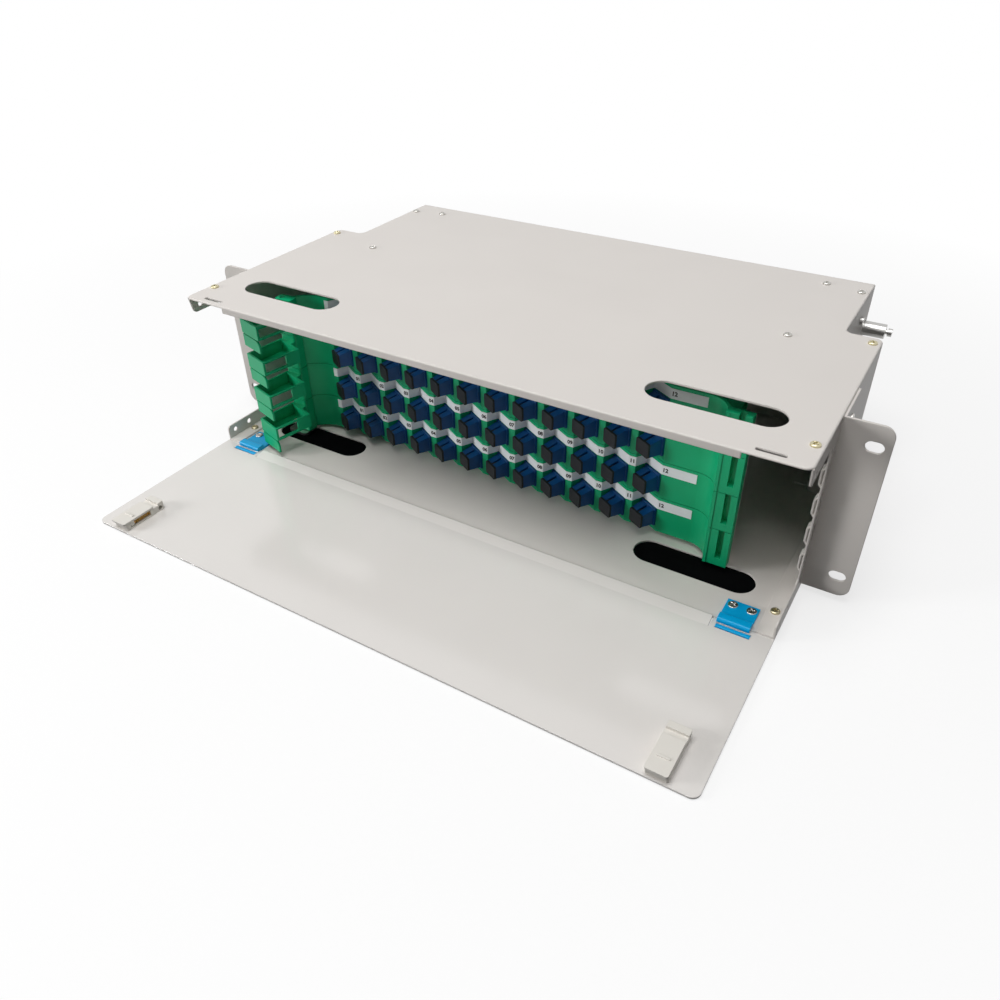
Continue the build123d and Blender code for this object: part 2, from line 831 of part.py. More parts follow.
def tray_plan(inset):
    """Plan of the tray body: sawtooth in front, back corner cut to the circle that it swings on."""
    Polygon(
        *sawtooth(inset, body_left + inset, body_right - inset),
        (body_right - inset, body_back - inset),
        (body_left + inset, body_back - inset),
        align=None,
    )
    Circle(swing_radius - inset, mode=Mode.INTERSECT)


def adapter_planes():
    """Upright planes on the white faces, with the normal along the adapter's axis."""
    planes = []
    for cell in range(adapter_count):
        start_x = first_number_x - saw_span + cell * cell_pitch
        centre_x = start_x + grey_run + white_length / 2 * cos(saw)
        centre_y = (valley_y + pivot_to_face) / 2
        origin = (
            pivot_x + centre_x,
            pivot_y + centre_y,
            tray_base_z + adapter_rise + adapter_height / 2,
        )
        planes.append(
            Plane(origin=origin, x_dir=(cos(saw), -sin(saw), 0), z_dir=(-sin(saw), -cos(saw), 0))
        )
    return planes


# Tray moulding
left_arc_y = pivot_to_face - left_arc_radius
left_arc_sweep = degrees(acos((lug_depth / 4 - left_arc_y) / (left_arc_radius + tray_wall / 2)))
with BuildPart() as tray_base:
    with BuildSketch(tray_plane()):
        tray_plan(0)
    extrude(amount=tray_side_height)
    with BuildSketch(tray_plane(tray_floor)):
        tray_plan(tray_wall)
    extrude(amount=tray_height, mode=Mode.SUBTRACT)
    with BuildSketch(tray_plane(tray_floor)):
        with Locations((body_left, entry_window_y)):
            Rectangle(2 * tray_wall, entry_window, align=(Align.CENTER, Align.MIN))
    extrude(amount=tray_height, mode=Mode.SUBTRACT)
    with BuildSketch(tray_plane()):
        Polygon(
            *sawtooth(0, label_left, front_flat_right),
            *reversed(sawtooth(tray_wall, label_left, front_flat_right)),
            align=None,
        )
    extrude(amount=tray_height)
    with BuildSketch(tray_plane()):
        with BuildLine():
            CenterArc(
                (front_flat_right, pivot_to_face - front_arc_radius),
                front_arc_radius + tray_wall / 2,
                0,
                90,
            )
        trace(line_width=tray_wall)
        with BuildLine():
            CenterArc(
                (label_left, left_arc_y),
                left_arc_radius + tray_wall / 2,
                90,
                left_arc_sweep,
            )
        trace(line_width=tray_wall)
        with Locations((plate_left, 0)):
            Rectangle(plate_width, plate_depth, align=(Align.MIN, Align.MIN))
        with Locations((lug_right - lug_width / 2, 0)):
            RectangleRounded(lug_width, lug_depth, lug_corner)
        Circle(rod_radius + rod_running_clearance, mode=Mode.SUBTRACT)
    extrude(amount=tray_height)
    with BuildSketch(tray_plane(plate_slot_bottom)):
        with Locations((plate_left + plate_slot_from_left, plate_depth - plate_back_wall)):
            Rectangle(plate_slot_width, 2 * plate_depth, align=(Align.MIN, Align.MAX))
    extrude(amount=tray_height, mode=Mode.SUBTRACT)
    with BuildSketch(*adapter_planes()):
        Rectangle(adapter_width + 2 * adapter_fit, adapter_height + 2 * adapter_fit)
    extrude(amount=-2 * tray_wall, mode=Mode.SUBTRACT)
    with BuildSketch(tray_plane(tray_floor)):
        with Locations((splice_x, splice_y)):
            with GridLocations(spool_spacing, 0, 2, 1):
                Circle(spool_radius)
                Circle(spool_radius - spool_wall, mode=Mode.SUBTRACT)
                Rectangle(2 * spool_radius, spool_gap, mode=Mode.SUBTRACT)
    extrude(amount=spool_height)


def save_trays(part, name):
    """The same piece in every tray, numbered from the lowest one."""
    for level in range(tray_count):
        save(part.moved(Location((0, 0, level * tray_pitch))), f"{name}_{level + 1}")


save_trays(tray_base.part, "tray_base")


# Adapters: a tapered nose in front of the flange, a tail behind it, a port at each end and a key groove
shoulder_lift = (adapter_shoulder_height - adapter_height) / 2
nose_length = adapter_reach - adapter_flange_thickness
with BuildPart() as adapters:
    with BuildSketch(*adapter_planes()):
        Rectangle(adapter_width, adapter_height)
    extrude(amount=-adapter_tail)
    with BuildSketch(*adapter_planes()):
        with Locations((0, shoulder_lift)):
            Rectangle(adapter_flange_width, adapter_flange_height)
    extrude(amount=adapter_flange_thickness)
    for plane in adapter_planes():
        with BuildSketch(plane.offset(adapter_flange_thickness)):
            with Locations((0, shoulder_lift)):
                Rectangle(adapter_width, adapter_shoulder_height)
        with BuildSketch(plane.offset(adapter_reach)):
            Rectangle(adapter_nose_width, adapter_height)
        loft()
    with BuildSketch(*[plane.offset(adapter_reach) for plane in adapter_planes()]):
        Rectangle(port_width, port_height)
    extrude(amount=-port_depth, mode=Mode.SUBTRACT)
    with BuildSketch(*[plane.offset(-adapter_tail) for plane in adapter_planes()]):
        Rectangle(port_width, port_height)
    extrude(amount=port_depth, mode=Mode.SUBTRACT)
    with BuildSketch(*[plane.offset(adapter_reach) for plane in adapter_planes()]):
        with Locations((0, adapter_height / 2 - key_depth)):
            Rectangle(key_width, adapter_shoulder_height, align=(Align.CENTER, Align.MIN))
    extrude(amount=-min(key_length, nose_length), mode=Mode.SUBTRACT)
save_trays(adapters.part, "adapters")


# Dust caps: a plate over the port, a plug in it and a key in the groove
with BuildPart() as dust_caps:
    with BuildSketch(*[plane.offset(adapter_reach) for plane in adapter_planes()]):
        RectangleRounded(adapter_nose_width + 2 * cap_overhang, adapter_height + 2 * cap_overhang, cap_corner)
    extrude(amount=cap_thickness)
    with BuildSketch(*[plane.offset(adapter_reach) for plane in adapter_planes()]):
        Rectangle(port_width - 2 * cap_fit, port_height - 2 * cap_fit)
    extrude(amount=-cap_plug_length)
    with BuildSketch(*[plane.offset(adapter_reach) for plane in adapter_planes()]):
        with Locations((0, adapter_height / 2 - key_depth + key_fit)):
            Rectangle(key_width - 2 * key_fit, key_depth, align=(Align.CENTER, Align.MIN))
    extrude(amount=-(key_length - key_fit))
save_trays(dust_caps.part, "dust_caps")


# Label strip, stuck on the sawtooth above the adapters
with BuildPart() as label_strip:
    with BuildSketch(tray_plane(label_bottom)):
        Polygon(
            *sawtooth(0, label_left, label_right),
            *reversed(sawtooth(-label_thickness, label_left, label_right)),
            align=None,
        )
    extrude(amount=label_height)
save_trays(label_strip.part, "label_strip")


# Cord guide: a ring in front of the lug that leads the cords down and to the left, over a tab
guide_back_left = (guide_back_left_x, -lug_depth / 2)
guide_corners = (guide_front_left, guide_front_right, guide_back_right, guide_back_left)
guide_bottom = guide_rim - guide_ring_height


def wall_plane(start, end, height=0.0):
    """Upright plane on a side of the guide, with x running from start to end and y up."""
    run = Vector(end[0] - start[0], end[1] - start[1], 0)
    return Plane(
        origin=(pivot_x + start[0], pivot_y + start[1], tray_base_z + height),
        x_dir=run,
        z_dir=run.cross(Vector(0, 0, 1)),
    )


front_run = Vector(*guide_front_right) - Vector(*guide_front_left)
back_run = Vector(*guide_back_right) - Vector(*guide_back_left)
web_end = Vector(*guide_back_left) + back_run * guide_web_share
shelf_front = Vector(*guide_front_left) + front_run.normalized() * guide_shelf_width
shelf_back = Vector(*guide_back_left) + back_run.normalized() * guide_shelf_width
tab_length = front_run.length - 2 * guide_tab_inset
tab_height = guide_bottom - guide_tab_gap - guide_tab_bottom
with BuildPart() as cord_guide:
    with BuildSketch(tray_plane(guide_bottom)):
        Polygon(*guide_corners, align=None)
        offset(amount=-guide_wall, kind=Kind.INTERSECTION, mode=Mode.SUBTRACT)
        Polygon(guide_back_left, (web_end.X, web_end.Y), (web_end.X, -lug_depth / 2), align=None)
    extrude(amount=guide_ring_height)
    with BuildSketch(tray_plane(guide_bottom)):
        Polygon(
            guide_front_left,
            (shelf_front.X, shelf_front.Y),
            (shelf_back.X, shelf_back.Y),
            guide_back_left,
            align=None,
        )
    extrude(amount=guide_wall)
    tab_plane = wall_plane(guide_front_left, guide_front_right, guide_tab_bottom)
    with BuildSketch(tab_plane) as tab_view:
        with Locations((guide_tab_inset, 0)):
            Rectangle(tab_length, tab_height, align=(Align.MIN, Align.MIN))
        fillet(tab_view.vertices().group_by(Axis.Y)[-1].sort_by(Axis.X)[-1], radius=guide_tab_radius)
    extrude(amount=-guide_wall)
    with BuildSketch(tab_plane.offset(-guide_wall / 2)):
        with Locations((guide_tab_inset + tab_length / 2, 0)):
            Rectangle(
                tab_length - 2 * guide_tab_radius,
                tab_height + guide_tab_gap,
                align=(Align.CENTER, Align.MIN),
            )
    extrude(amount=-guide_wall / 2)
    window_start = wall_plane(guide_front_right, guide_back_right, guide_bottom + guide_window_rise)
    with BuildSketch(window_start) as side_window:
        with Locations((guide_window_margin, 0)):
            Rectangle(guide_window_length, guide_window_height, align=(Align.MIN, Align.MIN))
        fillet(side_window.vertices(), radius=guide_window_corner)
    extrude(amount=-2 * guide_wall, mode=Mode.SUBTRACT)
save_trays(cord_guide.part, "cord_guide")


# Splice holder: a comb of upright ribs on a base, between the two fibre spools
with BuildPart() as splice_holder:
    with BuildSketch(tray_plane(tray_floor)):
        with Locations((splice_x, splice_y)):
            Rectangle(splice_length, splice_width)
    extrude(amount=splice_base)
    rib_pitch = splice_width / splice_slots
    with BuildSketch(tray_plane(tray_floor + splice_base)):
        with Locations((splice_x, splice_y)):
            with GridLocations(0, rib_pitch, 1, splice_slots + 1):
                Rectangle(splice_length, rib_pitch - splice_slot_width)
            Rectangle(splice_length, splice_width, mode=Mode.INTERSECT)
    extrude(amount=splice_height - splice_base)
save_trays(splice_holder.part, "splice_holder")


# Clear lid over the spools and the splice holder
with BuildPart() as splice_cover:
    with BuildSketch(tray_plane(tray_floor + spool_height)):
        tray_plan(tray_wall + lid_clearance)
        with Locations((0, lid_front_y)):
            Rectangle(2 * body_right, body_back, align=(Align.CENTER, Align.MIN), mode=Mode.INTERSECT)
    extrude(amount=lid_thickness)
save_trays(splice_cover.part, "splice_cover")


# Pivot rod through the four lugs, on a foot behind the floor's cable hole
rod_top_z = tray_base_z + (tray_count - 1) * tray_pitch + tray_height - rod_top_recess
with BuildPart() as pivot_rod:
    with BuildSketch(Plane((pivot_x, pivot_y, inner_floor_z))):
        Circle(rod_radius)
    extrude(amount=rod_top_z - inner_floor_z)
save(pivot_rod.part, "pivot_rod")

with BuildPart() as pivot_foot:
    with BuildSketch(Plane((pivot_x, pivot_y, inner_floor_z))) as foot_plan:
        with Locations((0, -foot_reach)):
            Rectangle(foot_width, foot_reach + foot_back, align=(Align.CENTER, Align.MIN))
        fillet(foot_plan.vertices(), radius=foot_corner)
        Circle(rod_radius + rod_running_clearance / 2, mode=Mode.SUBTRACT)
    extrude(amount=foot_thickness)
save(pivot_foot.part, "pivot_foot")


# Latch post: an angle that the tray plates close against
post_x = pivot_x + plate_left + post_from_plate
post_y = pivot_y + plate_depth + post_gap
post_top_z = tray_base_z + (tray_count - 1) * tray_pitch + tray_height - post_top_drop
with BuildPart() as latch_post:
    with BuildSketch(Plane.XY.offset(inner_floor_z)):
        with BuildLine():
            FilletPolyline(
                (post_x, post_y + sheet / 2),
                (post_x + post_width - sheet / 2, post_y + sheet / 2),
                (post_x + post_width - sheet / 2, post_y + post_depth),
                radius=2 * sheet,
            )
        trace(line_width=sheet)
    extrude(amount=post_top_z - inner_floor_z)
    with BuildSketch(Plane.XY.offset(inner_floor_z)):
        with Locations((post_x, post_y + sheet)):
            Rectangle(post_width - sheet, post_depth - sheet, align=(Align.MIN, Align.MIN))
    extrude(amount=sheet)
save(latch_post.part, "latch_post")
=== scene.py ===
# %% [markdown]
# A rack case for fibre patching, dressed for a studio picture
#
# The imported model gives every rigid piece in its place. This lesson keeps those pieces, gives each
# one the finish of the real thing, and adds the small things that the plain solids leave out:
# crossed screw heads, coiled springs and printed numbers.

# %% Load the frame and note the model's box
import math

import bpy
import numpy as np
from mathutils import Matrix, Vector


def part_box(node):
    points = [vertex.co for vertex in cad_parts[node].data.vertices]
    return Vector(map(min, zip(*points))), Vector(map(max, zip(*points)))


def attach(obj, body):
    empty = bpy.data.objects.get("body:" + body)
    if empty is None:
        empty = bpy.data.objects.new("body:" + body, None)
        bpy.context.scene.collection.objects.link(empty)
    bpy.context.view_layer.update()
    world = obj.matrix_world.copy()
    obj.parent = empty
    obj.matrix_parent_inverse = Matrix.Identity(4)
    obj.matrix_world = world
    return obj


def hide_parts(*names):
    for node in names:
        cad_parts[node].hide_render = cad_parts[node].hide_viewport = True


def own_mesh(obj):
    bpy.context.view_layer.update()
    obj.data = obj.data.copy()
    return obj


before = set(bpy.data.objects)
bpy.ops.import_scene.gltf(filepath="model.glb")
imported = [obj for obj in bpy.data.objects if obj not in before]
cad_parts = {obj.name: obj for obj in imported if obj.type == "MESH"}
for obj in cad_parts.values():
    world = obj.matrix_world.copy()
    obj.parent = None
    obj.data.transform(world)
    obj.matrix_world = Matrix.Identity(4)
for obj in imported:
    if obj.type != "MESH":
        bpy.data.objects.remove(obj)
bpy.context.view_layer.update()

# %% [markdown]
# Millimetres and sRGB
#
# The scene is in metres and linear light, but a drawing and a colour card are not. Two small
# functions turn millimetres and hex colours into what Blender wants, so every value below stays
# readable.


# %% Units and colours
def mm(value):
    """Millimetres to metres."""
    return value / 1000


def linear(hex_colour, alpha=1.0):
    """An sRGB hex colour as linear RGBA: the standard curve, straight below 0.04045."""
    channels = np.array([int(hex_colour[i : i + 2], 16) for i in (1, 3, 5)]) / 255
    low = channels / 12.92
    high = ((channels + 0.055) / 1.055) ** 2.4
    return (*np.where(channels <= 0.04045, low, high), alpha)


print("paint in linear light", linear("#DDDAD5"))

# %% [markdown]
# One way to add a node
#
# A material is a small graph. Writing each node by hand takes three lines: make it, set it, link
# it. One function does all three, so that a finish reads as a list of what it is made of.


# %% The node helper
def node(tree, kind, settings=None, **inputs):
    """Adds a node. Settings are its own fields, and inputs are values or sockets to link from."""
    made = tree.nodes.new(kind)
    for field, value in (settings or {}).items():
        setattr(made, field, value)
    for name, value in inputs.items():
        socket = made.inputs[int(name[1:]) if name[1:].isdigit() else name.replace("_", " ")]
        if isinstance(value, bpy.types.NodeSocket):
            tree.links.new(value, socket)
        else:
            socket.default_value = value
    return made


def new_material(name):
    """A material with an empty graph, its output and its surface shader."""
    material = bpy.data.materials.new(name)
    material.use_nodes = True
    tree = material.node_tree
    tree.nodes.clear()
    output = node(tree, "ShaderNodeOutputMaterial")
    shader = node(tree, "ShaderNodeBsdfPrincipled")
    tree.links.new(shader.outputs["BSDF"], output.inputs["Surface"])
    return material, tree, shader


print("helpers ready")

# %% [markdown]
# Powder coat
#
# The case is steel sheet with a baked polyester powder coat. The powder melts into a skin with a
# faint orange peel, about a millimetre from hill to hill, and it rounds every cut edge. A noise
# bump at that spacing gives the skin, a Bevel node rounds the edges, and a much slower noise shifts
# the colour a little, as a thick and a thin coat do. The door is coated glossier than the case, so
# its face mirrors the trays a little near the hinge.


# %% The powder coat function
def powder_coat(name, colour, shade, roughness, specular):
    """Two close tones mixed by a slow noise, with an orange-peel bump over rounded edges."""
    cloud_mm, peel_mm, peel_height_mm, edge_mm = 60, 1.1, 0.012, 0.8
    material, tree, shader = new_material(name)
    place = node(tree, "ShaderNodeTexCoord").outputs["Object"]
    slow = node(tree, "ShaderNodeTexNoise", Vector=place, Scale=1 / mm(cloud_mm), Detail=2.0)
    tone = node(tree, "ShaderNodeMix", {"data_type": "RGBA"}, _0=slow.outputs["Fac"])
    tone.inputs[6].default_value = linear(colour)
    tone.inputs[7].default_value = linear(shade)
    tree.links.new(tone.outputs[2], shader.inputs["Base Color"])
    peel = node(tree, "ShaderNodeTexNoise", Vector=place, Scale=1 / mm(peel_mm), Detail=1.0)
    edge = node(tree, "ShaderNodeBevel", {"samples": 4}, Radius=mm(edge_mm))
    bump = node(
        tree,
        "ShaderNodeBump",
        Height=peel.outputs["Fac"],
        Distance=mm(peel_height_mm),
        Strength=0.6,
        Normal=edge.outputs["Normal"],
    )
    tree.links.new(bump.outputs["Normal"], shader.inputs["Normal"])
    shader.inputs["Roughness"].default_value = roughness
    shader.inputs["IOR"].default_value = 1.5
    shader.inputs["Specular IOR Level"].default_value = specular
    return material


case_paint = powder_coat("polyester_powder_coat", "#DFDAD5", "#DAD5D0", 0.4, 0.22)
door_paint = powder_coat("polyester_powder_coat_door", "#E4E0DC", "#DFDBD7", 0.14, 0.8)
print("paints", case_paint.name, door_paint.name)

# %% [markdown]
# Moulded plastics
#
# The trays are green ABS, the adapters blue PBT, the caps black polyethylene, the hinges blue nylon
# and the latches ivory ABS. All are injection moulded in spark-eroded tools, so all share a fine
# matt grain, and differ in colour and gloss. Thin plastic walls let a little light through, which a
# touch of subsurface shows on the bright green.


# %% The moulded plastic function
def moulded(name, colour, shade, roughness, grain_mm=0.5, subsurface=0.0, specular=0.5):
    """Base colour broken by a slow noise, a fine grain bump and rounded mould edges."""
    flow_mm, grain_depth_mm, edge_mm = 14, 0.01, 0.3
    material, tree, shader = new_material(name)
    place = node(tree, "ShaderNodeTexCoord").outputs["Object"]
    flow = node(tree, "ShaderNodeTexNoise", Vector=place, Scale=1 / mm(flow_mm), Detail=3.0)
    tone = node(tree, "ShaderNodeMix", {"data_type": "RGBA"}, _0=flow.outputs["Fac"])
    tone.inputs[6].default_value = linear(colour)
    tone.inputs[7].default_value = linear(shade)
    tree.links.new(tone.outputs[2], shader.inputs["Base Color"])
    grain = node(tree, "ShaderNodeTexNoise", Vector=place, Scale=1 / mm(grain_mm), Detail=2.0)
    edge = node(tree, "ShaderNodeBevel", {"samples": 4}, Radius=mm(edge_mm))
    bump = node(
        tree,
        "ShaderNodeBump",
        Height=grain.outputs["Fac"],
        Distance=mm(grain_depth_mm),
        Strength=0.5,
        Normal=edge.outputs["Normal"],
    )
    tree.links.new(bump.outputs["Normal"], shader.inputs["Normal"])
    shader.inputs["Roughness"].default_value = roughness
    shader.inputs["IOR"].default_value = 1.53
    shader.inputs["Specular IOR Level"].default_value = specular
    shader.inputs["Subsurface Weight"].default_value = subsurface
    shader.inputs["Subsurface Scale"].default_value = mm(1)
    return material


green_abs = moulded("green_moulded_abs", "#0CB078", "#0AA46E", 0.4, subsurface=0.02, specular=0.25)
blue_pbt = moulded("blue_moulded_pbt", "#054C89", "#044378", 0.35, specular=0.3)
black_pe = moulded("black_moulded_polyethylene", "#1E2124", "#181A1D", 0.5, specular=0.25)
blue_nylon = moulded("blue_moulded_nylon", "#03ABE6", "#039FD8", 0.3, specular=0.22)
ivory_abs = moulded("ivory_moulded_abs", "#E3DFD8", "#DCD8D0", 0.35)
grey_abs = moulded("light_grey_moulded_abs", "#D9DAD9", "#D0D2D2", 0.45)
print("plastics", [m.name for m in (green_abs, blue_pbt, black_pe, blue_nylon, ivory_abs, grey_abs)])

# %% [markdown]
# Plated steel and brass wire
#
# Screws are steel with a yellow zinc or a nickel plate, turned parts are left bright, and the
# springs are brass wire. Turned and rolled metal has fine lines that break its highlight. They could
# be a bump, but lines this fine would only flicker, so a stretched noise drives the roughness.


# %% The metals
def metal(name, colour, roughness):
    """A metal whose roughness is broken by noise stretched into fine turning lines."""
    line_mm, stretched = 0.3, (1, 1, 6)
    material, tree, shader = new_material(name)
    place = node(tree, "ShaderNodeTexCoord").outputs["Object"]
    stretch = node(tree, "ShaderNodeMapping", Vector=place, Scale=stretched)
    lines = node(
        tree,
        "ShaderNodeTexNoise",
        Vector=stretch.outputs["Vector"],
        Scale=1 / mm(line_mm),
        Detail=2.0,
    )
    spread = node(
        tree,
        "ShaderNodeMapRange",
        Value=lines.outputs["Fac"],
        To_Min=roughness * 0.7,
        To_Max=roughness * 1.3,
    )
    tree.links.new(spread.outputs["Result"], shader.inputs["Roughness"])
    shader.inputs["Base Color"].default_value = linear(colour)
    shader.inputs["Metallic"].default_value = 1.0
    return material


yellow_zinc = metal("yellow_zinc_plated_steel", "#C6BE9E", 0.3)
nickel = metal("nickel_plated_steel", "#BDBBB6", 0.25)
bright_steel = metal("turned_bright_steel", "#B9B8B5", 0.3)
brass_wire = metal("drawn_brass_wire", "#C79A4B", 0.3)
print("metals", yellow_zinc.name, nickel.name, bright_steel.name, brass_wire.name)

# %% [markdown]
# Printed film and clear sheet
#
# The number strips are matt white film with black screen ink, and the lid over each tray is a thin
# sheet of clear acrylic. Film scatters light like paper, so two close tones are enough. Acrylic is
# seen by what lies behind it and by its gloss, so it lets light through and waves a little.


# %% Film, ink and acrylic
def film(name, colour, shade):
    """Matt printed film: two close tones mixed by a noise as fine as paper fibre."""
    fibre_mm = 0.8
    material, tree, shader = new_material(name)
    place = node(tree, "ShaderNodeTexCoord").outputs["Object"]
    fibre = node(tree, "ShaderNodeTexNoise", Vector=place, Scale=1 / mm(fibre_mm), Detail=4.0)
    tone = node(tree, "ShaderNodeMix", {"data_type": "RGBA"}, _0=fibre.outputs["Fac"])
    tone.inputs[6].default_value = linear(colour)
    tone.inputs[7].default_value = linear(shade)
    tree.links.new(tone.outputs[2], shader.inputs["Base Color"])
    shader.inputs["Roughness"].default_value = 0.6
    return material


def acrylic(name):
    """Clear sheet: mostly transmission, with a faint waviness from casting."""
    wave_mm, wave_height_mm = 25, 0.05
    material, tree, shader = new_material(name)
    place = node(tree, "ShaderNodeTexCoord").outputs["Object"]
    wave = node(tree, "ShaderNodeTexNoise", Vector=place, Scale=1 / mm(wave_mm), Detail=1.0)
    bump = node(
        tree,
        "ShaderNodeBump",
        Height=wave.outputs["Fac"],
        Distance=mm(wave_height_mm),
        Strength=0.3,
    )
    tree.links.new(bump.outputs["Normal"], shader.inputs["Normal"])
    shader.inputs["Base Color"].default_value = linear("#F2F6F6")
    shader.inputs["Roughness"].default_value = 0.06
    shader.inputs["IOR"].default_value = 1.49
    shader.inputs["Transmission Weight"].default_value = 0.92
    return material


label_film = film("white_printed_film", "#F3F6F8", "#EBEEF1")
number_ink = film("black_screen_ink", "#0C0D0E", "#131416")
clear_lid = acrylic("clear_cast_acrylic")
print("film, ink and sheet", label_film.name, number_ink.name, clear_lid.name)

# %% [markdown]
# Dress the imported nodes
#
# A node whose shape is right only needs its finish. Names tell which piece is which, so a list of
# name starts and finishes covers every node, and the loop stops if one is missed.

# %% Finishes by node name
finishes = (
    ("door_panel", door_paint),
    ("floor_plate", case_paint),
    ("side_plate", case_paint),
    ("rear_wall", case_paint),
    ("top_cover", case_paint),
    ("cover_stiffener", case_paint),
    ("ear_left", case_paint),
    ("ear_right", case_paint),
    ("latch_post", case_paint),
    ("cover_screws_yellow", yellow_zinc),
    ("floor_screws", yellow_zinc),
    ("cover_screws_nickel", nickel),
    ("ear_screws", nickel),
    ("hinge_screws", nickel),
    ("pivot_rod", bright_steel),
    ("pivot_foot", bright_steel),
    ("anchor_post", bright_steel),
    ("anchor_screw", bright_steel),
    ("earth_boss", bright_steel),
    ("hinge_", blue_nylon),
    ("latch_spring", brass_wire),
    ("latch_", ivory_abs),
    ("tray_base", green_abs),
    ("cord_guide", green_abs),
    ("adapters", blue_pbt),
    ("dust_caps", black_pe),
    ("label_strip", label_film),
    ("splice_holder", grey_abs),
    ("splice_cover", clear_lid),
)
for name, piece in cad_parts.items():
    finish = next(material for start, material in finishes if name.startswith(start))
    piece.data.materials.clear()
    piece.data.materials.append(finish)
print("dressed", len(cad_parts), "nodes")

# %% [markdown]
# Turned pieces
#
# A screw and a coiled wire are both a circle carried along something. For a turned piece, a profile
# of radii and heights goes round an axis, so the surface is a function of two parameters: how far
# along the profile, and how far round. Numpy works out all points at once, and one point at each end
# closes the skin.


# %% A profile turned about an axis
def turned(radii, heights, spokes, relief=None):
    """Points (r cos a, r sin a, h + relief(x, y)) for each radius r and angle a, closed at both ends."""
    angle = np.linspace(0, 2 * np.pi, spokes, endpoint=False)
    x = radii[:, None] * np.cos(angle)
    y = radii[:, None] * np.sin(angle)
    z = np.repeat(heights[:, None], spokes, axis=1)
    if relief is not None:
        z = z + relief(x, y)
    rings = np.stack([x, y, z], axis=-1).reshape(-1, 3)
    poles = np.array([[0, 0, z[0].mean()], [0, 0, z[-1].mean()]])
    return np.vstack([rings, poles]), skin(len(radii), spokes)


def skin(rows, columns):
    """Quads between neighbouring rings of a grid, and triangles from its first and last ring to a pole."""
    row, column = np.meshgrid(np.arange(rows - 1), np.arange(columns), indexing="ij")
    after = (column + 1) % columns
    here, below = row * columns, (row + 1) * columns
    quads = np.stack([here + column, below + column, below + after, here + after], axis=-1)
    first = np.arange(columns)
    second = (first + 1) % columns
    top_pole = np.full(columns, rows * columns)
    last = (rows - 1) * columns
    top = np.stack([top_pole, first, second], axis=-1)
    bottom = np.stack([last + first, top_pole + 1, last + second], axis=-1)
    return quads.reshape(-1, 4).tolist() + top.tolist() + bottom.tolist()


def new_piece(name, parts, material, body, crease_degrees=35):
    """One object from a list of (points, faces), with its place in its mesh, riding on a body."""
    points, faces, start = [], [], 0
    for part_points, part_faces in parts:
        points.append(part_points)
        faces += [[start + corner for corner in face] for face in part_faces]
        start += len(part_points)
    mesh = bpy.data.meshes.new(name)
    mesh.from_pydata(np.vstack(points).tolist(), [], faces)
    mesh.shade_smooth()
    mesh.set_sharp_from_angle(angle=math.radians(crease_degrees))
    mesh.materials.append(material)
    piece = bpy.data.objects.new(name, mesh)
    bpy.context.scene.collection.objects.link(piece)
    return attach(piece, body)


print("turning helpers ready")

# %% [markdown]
# Crossed pan-head screws
#
# The case is held by small machine screws with a pan head and a crossed recess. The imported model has
# plain round heads. Here the head's profile is a soft dome, and the recess is a relief pressed into
# it: deep near the two lines x = 0 and y = 0, and running out before the rim. A cut with a Boolean
# would do too, but a relief keeps the mesh even and closed.


# %% One screw
screw_shank_radius = mm(1.9)
screw_spokes = 48
recess_half_width = mm(0.34)
recess_side = mm(0.12)
recess_run_out = mm(0.35)


def cross_recess(reach, half_width, depth):
    """Relief of a crossed recess: -depth on the two arms, fading over recess_side and recess_run_out."""

    def relief(x, y):
        across = np.minimum(abs(x), abs(y))
        along = np.maximum(abs(x), abs(y))
        arm = np.clip((half_width - across) / recess_side + 0.5, 0, 1)
        end = np.clip((reach - along) / recess_run_out, 0, 1)
        return -depth * arm * end

    return relief


def screw(head_radius, head_height, shank_length, turn):
    """A dome (R sin f, s + (h - s)(1 - sin(f)^p)^(1/p)) over a rim of height s, a flat seat and a shank."""
    rise = np.linspace(0.05, 1, 20) * np.pi / 2
    rim, power = 0.4 * head_height, 2.6
    dome = rim + (head_height - rim) * (1 - np.sin(rise) ** power).clip(0) ** (1 / power)
    shank = screw_shank_radius
    radii = np.concatenate([head_radius * np.sin(rise), [head_radius, shank, shank]])
    heights = np.concatenate([dome, [0, 0, -shank_length]])
    recess = cross_recess(0.66 * head_radius, recess_half_width, 0.6 * head_height)

    def relief(x, y):
        across = x * math.cos(turn) + y * math.sin(turn)
        along = y * math.cos(turn) - x * math.sin(turn)
        on_dome = (np.arange(len(radii)) < len(rise))[:, None]
        return recess(across, along) * on_dome

    return turned(radii, heights, screw_spokes, relief)


print("a screw has", screw_spokes, "spokes")

# %% [markdown]
# Where the screws sit
#
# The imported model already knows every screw's place, so no list of places is written here. The
# points of a screw node are split wherever a gap wider than screw_gap shows, and each group gives
# one screw: its middle, the side it looks to, its head's radius and its shank's length. No two
# screws are turned alike, as nobody tightens them so.


# %% The screws in their places
screw_gap = mm(4)
first_turn = 0.6


def stood_on(points, seat, outward):
    """Points turned so that Z runs outward, then moved to the seat."""
    outward = np.array(outward, float)
    side = np.array((0, 1, 0)) if abs(outward[2]) < 0.5 else np.array((1, 0, 0))
    other = np.cross(outward, side)
    return points @ np.stack([side, other, outward]) + seat


def node_points(name):
    """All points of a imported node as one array."""
    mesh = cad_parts[name].data
    points = np.empty(len(mesh.vertices) * 3)
    mesh.vertices.foreach_get("co", points)
    return points.reshape(-1, 3)


def split_by_gaps(points, gap):
    """Groups of points, cut along X, Y and Z wherever two neighbours are further apart than gap."""
    groups = [points]
    for axis in range(3):
        cut = []
        for group in groups:
            ordered = group[np.argsort(group[:, axis])]
            breaks = np.nonzero(np.diff(ordered[:, axis]) > gap)[0] + 1
            cut += np.split(ordered, breaks)
        groups = cut
    return groups


